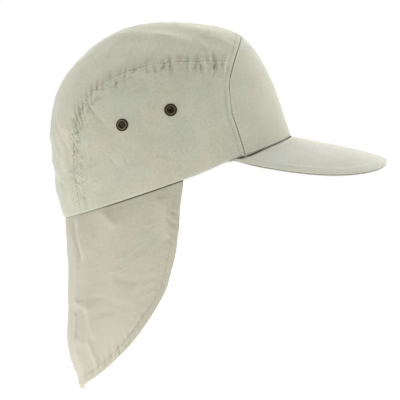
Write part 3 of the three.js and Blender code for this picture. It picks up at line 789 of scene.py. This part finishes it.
print("side panels")
eyelets = {
    "places": ((-0.261, 0.948, 0.433), (0.146, 0.981, 0.421)),   # shares, on the left
    "width": 10.6,
    "bore": 3.9,
    "metal": 0.6,
    "rise": 1.3,
    "cloth": 2.2,     # what the barrel goes through
    "hole": 3.4,      # radius of the hole in the cloth
    "drill": 12.0,
}


def eyeletSpots():
    spots = onCrown(np.array(eyelets["places"]) * halves)
    spots = np.vstack([spots, mirrored(spots)])
    normals = crownNormal(spots)
    lift = np.array([float(crownRelief(spot[None, None], "side")[0][0, 0]) for spot in spots])
    return spots + normals * lift[:, None], normals


def punched(piece, spots, normals):
    drills = bmesh.new()
    for spot, normal in zip(spots, normals):
        turn = Vector(worn(normal)).to_track_quat("Z", "Y").to_matrix().to_4x4()
        place = Matrix.Translation(worn(spot) / 1000) @ turn
        radius, depth = eyelets["hole"] / 1000, eyelets["drill"] / 1000
        bmesh.ops.create_cone(
            drills, cap_ends=True, segments=32, radius1=radius, radius2=radius, depth=depth, matrix=place,
        )
    mesh = bpy.data.meshes.new("drill")
    drills.to_mesh(mesh)
    drills.free()
    drill = put("drill", mesh)
    cut = piece.modifiers.new("holes", "BOOLEAN")
    cut.operation, cut.solver, cut.object = "DIFFERENCE", "MANIFOLD", drill
    result = plainMesh(piece, piece.name)
    bpy.data.objects.remove(drill)
    return result


# the evaluated object as a plain mesh, without its modifiers
def plainMesh(source, name):
    graph = bpy.context.evaluated_depsgraph_get()
    mesh = bpy.data.meshes.new_from_object(source.evaluated_get(graph), depsgraph=graph)
    bpy.data.objects.remove(source)
    return put(name, mesh)


spots, spotNormals = eyeletSpots()
sidePanels = {}
for hand, side in (("left", 1), ("right", -1)):
    flip = np.array([1, side, 1])
    s, t = gridShares("side")
    first, last = turnOfRim(topLine[0]), turnOfRim(lowerLine[0])
    bottom = rimPoint(first + (last - first) * s) * flip
    corner = np.repeat(bottom[:1], len(t), 0)
    grid = patch(bottom, along(topLine, s) * flip, corner, along(lowerLine, t) * flip, s, t)
    clothMap = np.stack([grid[..., 0], grid[..., 2]], -1)
    piece = crownPiece("sidePanel_" + hand, "side", grid, crown["sideCloth"], clothMap, crownCotton)
    mine = spots[:, 1] * side > 0
    sidePanels[hand] = punched(piece, spots[mine], spotNormals[mine])

print("peak")
peak = {
    "reach": 82.0,
    "width": 150.0,
    "thickness": 3.0,
    "cornerThickness": 0.6,
    "cornerTaper": 26.0,
    "shadowTaper": 75.0,   # the painted shadow under the crown's hem narrows to the front
    "fall": math.tan(math.radians(11.2)),
    "curve": 103.0,
    "power": 3.0,
    "span": 63.0,
    "tipDrop": 3.0,
    "tipPower": 6,
    "seatBlend": 4.5,
    "gap": 0.3,
    "ridgeIn": 6.3,      # allowance of the edge seam, felt through the cloth
    "ridgeRise": 0.35,
    "edgeStep": 0.22,    # the edge is that much fuller, and rounded by edgeRound
    "edgeRound": 0.5,
    "waviness": 0.16,
    "edgeLightAndShade": 0.35,
    "shadow": (3.6, 1.5),    # its breadth at the corners and in the middle
    "shadowDark": 2.3,
}
crownFront = worn(rimPoint(np.array(0.0)))
turn = (np.linspace(0, 1, 721) - 0.5) * math.pi
cornerX = worn(rimPoint(np.array(peak["span"])))[0]
outline = np.stack([
    cornerX + (crownFront[0] + peak["reach"] - cornerX) * np.abs(np.cos(turn)) ** (2 / peak["power"]),
    np.sign(turn) * peak["width"] / 2 * np.abs(np.sin(turn)) ** (2 / peak["power"]),
    0 * turn,
], -1)
outline = evenly(outline, 700)


def peakFaces(across, out):
    rim = rimPoint(across * peak["span"])
    inset = crownNormal(rim) * np.array([1, 1, 0])
    root = worn(rim - inset * crown["frontCloth"])
    edge = along(outline, (across + 1) / 2)
    plan = mix(root[:, None], edge[:, None], out[None, :, None])
    x, y = plan[..., 0], plan[..., 1]
    tip = np.clip((x - crownFront[0]) / peak["reach"], 0, 1)
    middle = crownFront[2] - (x - crownFront[0]) * peak["fall"] - peak["tipDrop"] * tip ** peak["tipPower"]
    bowed = middle - y**2 / (2 * peak["curve"])
    seated = x * math.tan(crown["tilt"]) - peak["gap"] / math.cos(crown["tilt"])
    away = np.hypot(x - root[:, None, 0], y - root[:, None, 1])
    share = smooth(away, crown["frontCloth"] + peak["gap"], peak["seatBlend"])
    tipSlope = peak["tipPower"] * peak["tipDrop"] * tip ** (peak["tipPower"] - 1) / peak["reach"]
    normal = unit(np.stack([peak["fall"] + tipSlope, y / peak["curve"], 1 + 0 * x], -1))
    normal = unit(mix(worn(np.array([0.0, 0.0, 1.0])), normal, share[..., None]))
    return np.stack([x, y, mix(seated, bowed, share)], -1), normal


across = np.linspace(-1, 1, 181)
out = graded(80, 1.4, 0.7, 0.45, 9)
face, normal = peakFaces(across, out)
edgeAway, edgeArc = nearest(face, face[:, -1])
lift = peak["ridgeRise"] * hump(edgeAway - peak["ridgeIn"], 0.9)
lift += peak["edgeStep"] * smooth(peak["ridgeIn"] - edgeAway, -0.4, 0.6)
lift -= peak["edgeRound"] * (1 - smooth(edgeAway, 0, 1.1))
lift += peak["waviness"] * waves(face, (26, 45), 9) * smooth(edgeAway, 0, 12)
# painted highlight along the ridge of the edge seam and along the edge
wear = peak["edgeLightAndShade"] * (hump(edgeAway - peak["ridgeIn"], 0.9) + hump(edgeAway - 0.8, 0.8))
rootAway = np.linalg.norm(face - face[:, :1], axis=-1)
outwards = unit(face[:, -1] - face[:, -2])
cornerAway = np.minimum(arcLengths(face[:, -1]), arcLengths(face[::-1, -1])[::-1])[:, None]
# painted shadow on the peak where it goes under the crown's hem
shadow = mix(*peak["shadow"], smooth(cornerAway, 0, peak["shadowTaper"]))
shadow = np.minimum(shadow, 0.5 * (rootAway[:, -1:] - crown["frontCloth"]) + 0.3)
shade = (1 - smooth(rootAway - crown["frontCloth"], shadow * 0.35, shadow)) * smooth(cornerAway, 1, 9)
wear = wear - peak["shadowDark"] * shade
thickness = mix(peak["cornerThickness"], peak["thickness"], smooth(cornerAway, 0, peak["cornerTaper"]))
layers, layerShadeAndWear = [], []
# depth as a share of the thickness, how far the edge stands out there, and how light it is painted: plus for
# painted highlight, minus for painted shade
edgeRows = (
    (0, -0.25, 0.5), (0.1, 0.3, 0.7), (0.24, 0.6, 0.6), (0.33, 0.5, -0.3), (0.37, 0.1, -2.2),
    (0.55, 0.1, -2.2), (0.59, 0.6, 0.6), (0.7, 0.95, 1.8), (0.87, 0.75, 1.8), (1, -0.1, 1.0),
)
for depth, bulge, edgeLightAndShade in edgeRows:
    layer = face + normal * (lift * (1 - depth) - depth * thickness)[..., None]
    layer[:, -1] += outwards * bulge
    layers.append(layer)
    layerShadeAndWear.append(wear * (depth == 0))
    layerShadeAndWear[-1][:, -1] = edgeLightAndShade
clothMap = face[..., :2]
peakPiece = makeCloth("peakCover", layers, clothMap, layerShadeAndWear, peakLitCotton)

print("neck flap")
flap = {
    "cloth": 1.2,
    "backFall": 148.0,
    "sideFall": 92.0,
    "span": 93.0,
    "tuck": 8.0,
    "width": 156.0,
    "gap": 0.3,
    "hangShare": 0.3,
    "foldShare": 0.15,
    "foldHeight": 3.2,
    "crumple": 0.5,
    "creaseSize": 13.0,
    "creaseGain": 1.4,
    "waviness": 0.6,
    "clothScale": 150.0,    # cloth for a share of one, round or down
    "hemShadow": 2.1,
    "shadeAt": -0.22,       # a stretch of the flap in painted shade, its breadth and strength
    "shadeBroad": 0.22,
    "shadeDark": 0.2,
}
# share of the fall, back line and front edge as shares of the half length, and breadth as a share
# of half the width
flapSections = np.array([
    (0.0, -0.934, 0.05, 1.04), (0.22, -0.902, 0.034, 1.03), (0.4, -0.902, 0.018, 1.0),
    (0.6, -0.909, 0.006, 0.97), (0.74, -0.91, -0.015, 0.94), (0.83, -0.886, -0.038, 0.92),
    (0.92, -0.838, -0.057, 0.9), (1.0, -0.8, -0.075, 0.88),
])
# share of the way round, rise of the lower edge
flapCut = np.array([
    (-0.2, 0.024), (-0.1, -0.01), (0.0, -0.026), (0.1, -0.01), (0.2, 0.024), (0.3, 0.072),
    (0.4, 0.142), (0.61, 0.33), (0.76, 0.51), (0.9, 0.76), (1.0, 1.0), (1.1, 1.3),
])
# where round, breadth, share of the fall, reach, height as a share of foldHeight
flapFolds = np.array([
    (-0.62, 0.09, 0.2, 0.3, 0.55), (-0.4, 0.08, 0.15, 0.28, 0.75), (-0.3, 0.1, 0.95, 0.45, 1.0),
    (-0.16, 0.08, 0.75, 0.4, -0.9), (-0.52, 0.16, 0.75, 0.4, -0.6), (-0.82, 0.09, 0.3, 0.25, 0.3),
    (0.1, 0.1, 0.8, 0.5, 0.8), (0.3, 0.11, 0.7, 0.45, -0.7), (0.5, 0.13, 0.75, 0.4, 0.7),
    (0.78, 0.1, 0.35, 0.3, -0.4),
    (-0.38, 0.03, 0.12, 0.12, 0.28), (-0.31, 0.025, 0.14, 0.1, -0.22), (-0.575, 0.03, 0.1, 0.1, 0.24),
    (-0.5, 0.03, 0.12, 0.1, -0.18), (-0.9, 0.04, 0.22, 0.16, 0.22), (-0.84, 0.03, 0.2, 0.16, -0.18),
    (0.42, 0.03, 0.12, 0.14, 0.26), (0.66, 0.03, 0.12, 0.12, -0.22), (0.22, 0.04, 0.3, 0.2, 0.2),
])

# creases of the flap: from and to as share of the way round and of the fall, breadth, height
flapCreases = np.array([
    (-0.355, 0.03, -0.375, 0.24, 4.0, 1.5), (-0.55, 0.04, -0.63, 0.15, 3.5, 1.4),
    (-0.6, 0.03, -0.72, 0.02, 5.0, -1.0), (-0.895, 0.12, -0.94, 0.42, 3.5, 1.2),
    (-0.25, 0.03, -0.3, 0.25, 5.0, -1.1), (-0.32, 0.51, -0.535, 0.57, 1.5, -0.5),
    (-0.25, 0.5, -0.435, 0.6, 3.0, 1.0), (-0.29, 0.58, -0.3, 0.72, 2.5, -1.0),
    (-0.4, 0.57, -0.45, 0.76, 3.0, 1.0), (-0.41, 0.78, -0.44, 0.95, 2.0, 1.1),
    (-0.64, 0.5, -0.75, 0.6, 3.0, -0.8), (-0.5, 0.66, -0.62, 0.7, 3.0, -0.7),
    (0.3, 0.05, 0.36, 0.3, 4.0, 1.2), (0.5, 0.1, 0.62, 0.28, 3.5, -0.9),
    (0.85, 0.2, 0.92, 0.5, 3.5, 1.0), (0.1, 0.5, 0.35, 0.6, 2.5, 0.9),
    (0.4, 0.6, 0.55, 0.8, 3.0, -0.8), (-0.05, 0.2, -0.02, 0.5, 4.0, 0.9),
])


def creased(around, fall):
    scale = flap["clothScale"]
    cloth = np.stack([around, fall], -1) * scale
    height = 0
    for row in flapCreases:
        start, end = row[:2] * scale, row[2:4] * scale
        share = np.clip((cloth - start) @ (end - start) / ((end - start) @ (end - start)), 0, 1)
        away = np.linalg.norm(cloth - start - share[..., None] * (end - start), axis=-1)
        height = height + flap["creaseGain"] * row[5] * np.exp(-(away / row[4]) ** 1.4)
    return height


def flapPlaces(around, fall):
    rim = rimPoint(180 - around * flap["span"])
    hidden = crown["sideCloth"] + flap["gap"]
    root = worn(rim - crownNormal(rim) * hidden)[:, None]
    turn = around[:, None] * math.pi / 2
    back, edge = (readRows(flapSections, k, fall)[None] * halves[0] for k in (1, 2))
    breadth = readRows(flapSections, 3, fall)[None] * flap["width"] / 2
    hungX, hungY = edge + (back - edge) * np.cos(turn), breadth * np.sin(turn)
    lowest = worn(rimPoint(np.array(180.0)))[2] - flap["backFall"]
    sideLowest = worn(rimPoint(np.array(180.0 - flap["span"])))[2] - flap["sideFall"]
    bottom = mix(lowest, sideLowest, readRows(flapCut, 1, np.abs(around)))[:, None]
    share = smooth(fall, 0, flap["hangShare"])[None]
    x, y = mix(root[..., 0], hungX, share), mix(root[..., 1], hungY, share)
    height = 0
    for at, broad, deep, reach, rise in flapFolds:
        part = rise * flap["foldHeight"] * hump(around[:, None] - at, broad)
        height = height + part * hump(fall[None] - deep, reach)
    height = height * smooth(fall, 0, flap["foldShare"])[None]
    away = np.hypot(x - edge, y)
    x, y = x + (x - edge) / away * height, y + y / away * height
    hung = np.stack([x, y, mix(root[..., 2], bottom, fall[None])], -1)
    tucked = []
    for rise in (1.0, 0.5):
        up = onCrown(rim + np.array([0, 0, rise * flap["tuck"]]))
        tucked.append(worn(up - crownNormal(up) * hidden))
    return np.concatenate([np.stack(tucked, 1), hung], 1)


def gridNormals(grid):
    normal = unit(np.cross(np.gradient(grid, axis=0), np.gradient(grid, axis=1)))
    middle = np.array([-25.0, 0.0])
    facing = ((grid[..., :2] - middle) * normal[..., :2]).sum(-1, keepdims=True)
    return normal * np.where(facing < 0, -1, 1)


# a rise by the share of the fall, nothing on the two rows tucked up inside
def downwards(low, high):
    return np.concatenate([np.zeros(2), smooth(fall, low, high)])[None]


around, fall = gridShares("flap")
around = 2 * around - 1
grid = flapPlaces(around, fall)
normal = gridNormals(grid)
hung = grid[:, 2:]
freeEdge = evenly(np.vstack([hung[0], hung[1:, -1], hung[-1, -2::-1]]), 700)
edgeAway, edgeArc = nearest(grid, freeEdge)
low = downwards(0.04, 0.3)
lift = sewing["flapRise"] * (1 - smooth(edgeAway, sewing["flapBand"] - 0.5, sewing["flapBand"] + 0.6))
lift = lift - 0.15 * hump(edgeAway - sewing["flapRow"], 0.5)
pulled = gathers(edgeArc + 0.7 * edgeAway, 8.5, 23) + 0.4 * gathers(edgeArc - 0.4 * edgeAway, 5, 29)
pulled = pulled * hump(edgeAway - 5, 6.0) * smooth(edgeAway, 0, 3)
lift = lift + sewing["flapPucker"] * pulled
calm = smooth(edgeAway, 0, 12)
lift = lift + flap["crumple"] * crumple(grid, flap["creaseSize"], 58) * calm
lift = (lift + flap["waviness"] * waves(grid, (18, 30, 55), 14) * calm) * low
bent = creased(around[:, None] + 0 * edgeAway, np.concatenate([np.zeros(2), fall])[None] + 0 * edgeAway)
lift = lift + bent * downwards(0.015, 0.06) * smooth(edgeAway, 0, 5)
fallen = np.cumsum(np.linalg.norm(np.diff(hung, axis=1), axis=-1), axis=1)
hemAway = np.concatenate([np.zeros((len(around), 3)), fallen], 1)
sewn = np.stack([edgeAway - sewing["flapRow"], edgeArc, 9 + 0 * edgeAway], -1)
# the flap's stitch row gets painted shade of this strength
dark = np.stack([0.35 + 0 * edgeAway, 0 * edgeAway, 0 * edgeAway], -1)
dark = dark * downwards(0.01, 0.06)[..., None]
# lighter at the free edge, painted shade in the hollows of the gathers and in short strokes by the edge,
# painted highlight and shade on the creases, painted shade over one stretch, and a painted shadow under the
# crown's hem
wear = 0.3 * hump(edgeAway, 1.0) * low
strokes = np.minimum(gathers(edgeArc + 0.5 * edgeAway, 3.4, 41), 0) * hump(edgeAway - 3, 2.6)
wear = wear + (0.9 * np.minimum(pulled, 0.05) + 1.5 * strokes) * low + 0.16 * bent
wear = wear - flap["shadeDark"] * hump(around[:, None] - flap["shadeAt"], flap["shadeBroad"])
shadow = (1 - smooth(hemAway, 2.5, 3.4)) * smooth(np.abs(around)[:, None], 0.15, 0.85)
wear = wear - flap["hemShadow"] * shadow
lift = np.maximum(lift, -2.5)
outer = grid + normal * lift[..., None]
inner = grid - normal * (flap["cloth"] - np.minimum(lift, 0))[..., None]
clothMap = np.stack([around[:, None] * flap["clothScale"] + 0 * grid[..., 0], grid[..., 2]], -1)
flapPiece = makeCloth("neckCloth", [outer, inner], clothMap, [wear, 0 * wear], flapCotton, False, sewn, dark)
cells = np.cross(np.diff(grid, axis=0)[:, :-1], np.diff(grid, axis=1)[:-1])
print("flap cloth, square metres", round(float(np.linalg.norm(cells, axis=-1).sum() / 1e6), 4))

print("stitches")


def newTree(name, inputs):
    tree = bpy.data.node_groups.new(name, "GeometryNodeTree")
    tree.interface.new_socket("Geometry", in_out="INPUT", socket_type="NodeSocketGeometry")
    for label, value in inputs.items():
        kind = "NodeSocketInt" if isinstance(value, int) else "NodeSocketFloat"
        tree.interface.new_socket(label, in_out="INPUT", socket_type=kind).default_value = value
    tree.interface.new_socket("Geometry", in_out="OUTPUT", socket_type="NodeSocketGeometry")
    book = NodeBook(tree)
    entry = book.add("NodeGroupInput").socket.node
    return tree, book, {socket.name: Wire(book, socket) for socket in entry.outputs if socket.name}


def finishTree(book, inputs, material):
    single = book.add("GeometryNodeRealizeInstances", {0: book.add("GeometryNodeInstanceOnPoints", inputs)})
    soft = book.add("GeometryNodeSetShadeSmooth", {0: single})
    painted = book.add("GeometryNodeSetMaterial", {0: soft, "Material": material})
    book.add("NodeGroupOutput", {0: painted})


# what a tree makes of a mesh. The modifier's inputs are set by name before it is first evaluated
def grown(name, mesh, tree, values):
    source = put(name + "Path", mesh)
    modifier = source.modifiers.new(tree.name, "NODES")
    modifier.node_group = tree
    for item in tree.interface.items_tree:
        if item.in_out == "INPUT" and item.name in values:
            modifier[item.identifier] = values[item.name]
    return plainMesh(source, name)


stitchSettings = {
    "Pitch": 0.0029,
    "Stitch length": 0.0023,
    "Thread": 0.00042,
    "Unevenness": 0.12,
    "Seed": 4,
}


def stitchTree(material):
    tree, book, given = newTree("stitchRow", stitchSettings)
    row = book.add("GeometryNodeMeshToCurve", {0: given["Geometry"]})
    inputs = {"Curve": row, "Length": given["Pitch"]}
    points = book.add("GeometryNodeCurveToPoints", inputs, "Points", mode="LENGTH")
    thread = book.add("GeometryNodeMeshUVSphere", {"Segments": 6, "Rings": 5, "Radius": 0.5})
    size = book.vector(given["Thread"], given["Thread"], given["Stitch length"])
    stitch = book.add("GeometryNodeTransform", {"Geometry": thread, "Scale": size})
    limits = {2: 1 - given["Unevenness"], 3: 1 + given["Unevenness"], "Seed": given["Seed"]}
    chance = book.add("FunctionNodeRandomValue", limits, 1, data_type="FLOAT")
    inputs = {"Points": points, "Instance": stitch, "Rotation": points.beside("Rotation"), "Scale": chance}
    finishTree(book, inputs, material)
    return tree


def shiftedSeam(line, shift, panel, low, high):
    part = evenly(line[int(low * (len(line) - 1)):int(high * (len(line) - 1)) + 1], 300)
    tangent = unit(np.gradient(part, axis=0))
    place = onCrown(part + unit(np.cross(crownNormal(part), tangent)) * shift)
    lift = crownRelief(place[:, None], panel)[0][:, 0]
    return worn(place + crownNormal(place) * (lift + sewing["threadRise"])[:, None])


# stitch rows follow the cloth as it was made
onSide = shiftedSeam(topLine, sewing["topRow"], "side", *sewing["topSpan"])
onTop = shiftedSeam(topLine, -sewing["topRow"], "top", *sewing["topSpan"])
stitchRows = [onSide, onTop, mirrored(onSide), mirrored(onTop)]
stitchRows.append(shiftedSeam(frontLine, sewing["frontRow"], "side", *sewing["frontSpan"]))

# and the flap's row keeps its distance from the free edge
flapRow = []
for share, gaps, line in zip(around, edgeAway[:, 2:], outer[:, 2:]):
    deep = np.where(gaps >= sewing["flapRow"])[0]
    if len(deep) and 1 - abs(share) > 0.04:
        flapRow.append(line[deep[-1]])


# rows of the same number of places
def stitched(name, rows):
    index = np.arange(rows[0].shape[0] * len(rows)).reshape(len(rows), -1)
    edges = np.stack([index[:, :-1], index[:, 1:]], -1).reshape(-1, 2)
    mesh = bpy.data.meshes.new(name + "Path")
    mesh.from_pydata(np.vstack(rows) / 1000, edges.tolist(), [])
    return grown(name, mesh, rowTree, stitchSettings)


rowTree = stitchTree(threadMaterial)
crownStitches = stitched("crownStitches", stitchRows)
flapThread = stitched("flapStitches", [evenly(np.array(flapRow), 400)])

print("eyelets")
eyeletSettings = {name.title(): eyelets[name] / 1000 for name in ("width", "bore", "rise", "metal", "cloth")}


def eyeletTree(material):
    tree, book, given = newTree("eyeletRing", eyeletSettings)
    flange = (given["Width"] - given["Bore"]) * 0.5
    middle = (given["Width"] + given["Bore"]) * 0.25

    def circle(count, radius):
        return book.add("GeometryNodeCurvePrimitiveCircle", {"Resolution": count, "Radius": radius})

    def swept(path, outline):
        return book.add("GeometryNodeCurveToMesh", {"Curve": path, "Profile Curve": outline})

    def moved(geometry, key, value, **more):
        return book.add("GeometryNodeTransform", {"Geometry": geometry, key: value, **more})

    roll = moved(circle(14, 0.5), "Scale", book.vector(flange, given["Rise"], 1.0))
    ring = swept(circle(44, middle), roll)
    raised = book.add("GeometryNodeInputPosition").axis(2) / given["Rise"] + 0.5
    inputs = {"Geometry": ring, "Name": "raised", "Value": raised}
    ring = book.add("GeometryNodeStoreNamedAttribute", inputs, data_type="FLOAT", domain="POINT")
    wall = {"Width": given["Metal"], "Height": given["Cloth"] * 1.5}
    wall = book.add("GeometryNodeCurvePrimitiveQuadrilateral", wall)
    barrel = swept(circle(44, (given["Bore"] + given["Metal"]) * 0.5), wall)
    barrel = moved(barrel, "Translation", book.vector(0, 0, given["Cloth"] * -0.6))
    under = book.vector(0, 0, given["Cloth"] * -1.25)
    thin = moved(ring, "Translation", under, Scale=(0.97, 0.97, 0.5))
    whole = book.add("GeometryNodeJoinGeometry", {0: [ring, barrel, thin]})
    heading = book.add("GeometryNodeInputNamedAttribute", {"Name": "heading"}, data_type="FLOAT_VECTOR")
    turn = book.add("FunctionNodeAlignRotationToVector", {"Vector": heading}, axis="Z")
    inputs = {"Points": given["Geometry"], "Instance": whole, "Rotation": turn}
    finishTree(book, inputs, material)
    return tree


mesh = bpy.data.meshes.new("eyeletSpots")
mesh.from_pydata(worn(spots + spotNormals * 0.2) / 1000, [], [])
store(mesh, "heading", worn(spotNormals))
eyeletRings = grown("eyeletRings", mesh, eyeletTree(brassMaterial), eyeletSettings)

print("pieces on the frame")
stands = {
    "front_panel": frontPanel,
    "top_panel": topPanel,
    "side_panel_left": sidePanels["left"],
    "side_panel_right": sidePanels["right"],
    "peak": peakPiece,
    "neck_flap": flapPiece,
}
for node, piece in stands.items():
    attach(piece, "root")
    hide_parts(node)
for piece in (crownStitches, flapThread):
    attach(piece, "root")
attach(eyeletRings, "root")
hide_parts("eyelet_left_front", "eyelet_left_rear", "eyelet_right_front", "eyelet_right_rear")

print("room and camera")
room = {
    "floorHeight": -0.3,
    "floorReach": 9.0,
    "corners": ((-1, -1), (1, -1), (1, 1), (-1, 1)),
    "paper": (0.93, 0.93, 0.93),
    "glow": 0.36,
    "backdrop": 1.0,      # white all round behind the cap
    "darkSide": 0.34,     # and dimmer behind the camera
}
mesh = bpy.data.meshes.new("floor")
corners = [(x * room["floorReach"], y * room["floorReach"], room["floorHeight"]) for x, y in room["corners"]]
mesh.from_pydata(corners, [], [(0, 1, 2, 3)])
floor = put("floor", mesh)
paper, book = newMaterial("paper")
book.finish({
    "Base Color": (*room["paper"], 1),
    "Roughness": 0.9,
    "Emission Color": (1, 1, 1, 1),
    "Emission Strength": room["glow"],
})
mesh.materials.append(paper)
floor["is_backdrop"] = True

world = bpy.data.worlds.new("studio")
world.use_nodes = True
world.node_tree.nodes.clear()
book = NodeBook(world.node_tree)
behind = (book.add("ShaderNodeTexCoord").axis(1) * 2.0 + 0.5).clamped()
strength = behind * (room["backdrop"] - room["darkSide"]) + room["darkSide"]
sky = book.add("ShaderNodeBackground", {"Color": (1, 1, 1, 1), "Strength": strength})
book.add("ShaderNodeOutputWorld", {0: sky})
scene.world = world
scene.view_settings.view_transform = "Standard"

# place, size and strength of each soft light
softLights = {
    "key": ((-1.4, -0.9, 0.85), 0.5, 9.3),
    "fill": ((1.5, -0.9, 0.3), 1.4, 5.5),
    "backLeft": ((-1.5, 0.9, 0.3), 1.4, 2.0),
    "backRight": ((1.5, 0.9, 0.4), 1.4, 11.0),
    "behind": ((0.1, 1.6, 1.0), 1.6, 35.0),
    "over": ((0.3, 0.1, 1.8), 1.2, 9.0),
}
for name, (place, size, strength) in softLights.items():
    lamp = bpy.data.lights.new(name, "AREA")
    lamp.shape, lamp.size, lamp.energy = "DISK", size, strength
    light = put(name, lamp)
    light.location = place
    light.rotation_euler = Vector([-c for c in place]).to_track_quat("-Z", "Y").to_euler()

view = {"place": (0.01978, -1.9977, 0.0976), "elevation": 3.4, "lens": 209.3}
lens = bpy.data.cameras.new("camera")
lens.lens, lens.sensor_width = view["lens"], 36
lens.clip_start, lens.clip_end = 0.1, 60
camera = put("camera", lens)
camera.location = view["place"]
camera.rotation_euler = (math.radians(90 - view["elevation"]), 0, 0)
scene.camera = camera

for piece in (*stands.values(), crownStitches, flapThread, eyeletRings):
    print(piece.name, sum(len(face.vertices) - 2 for face in piece.data.polygons), "triangles")
low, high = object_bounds()
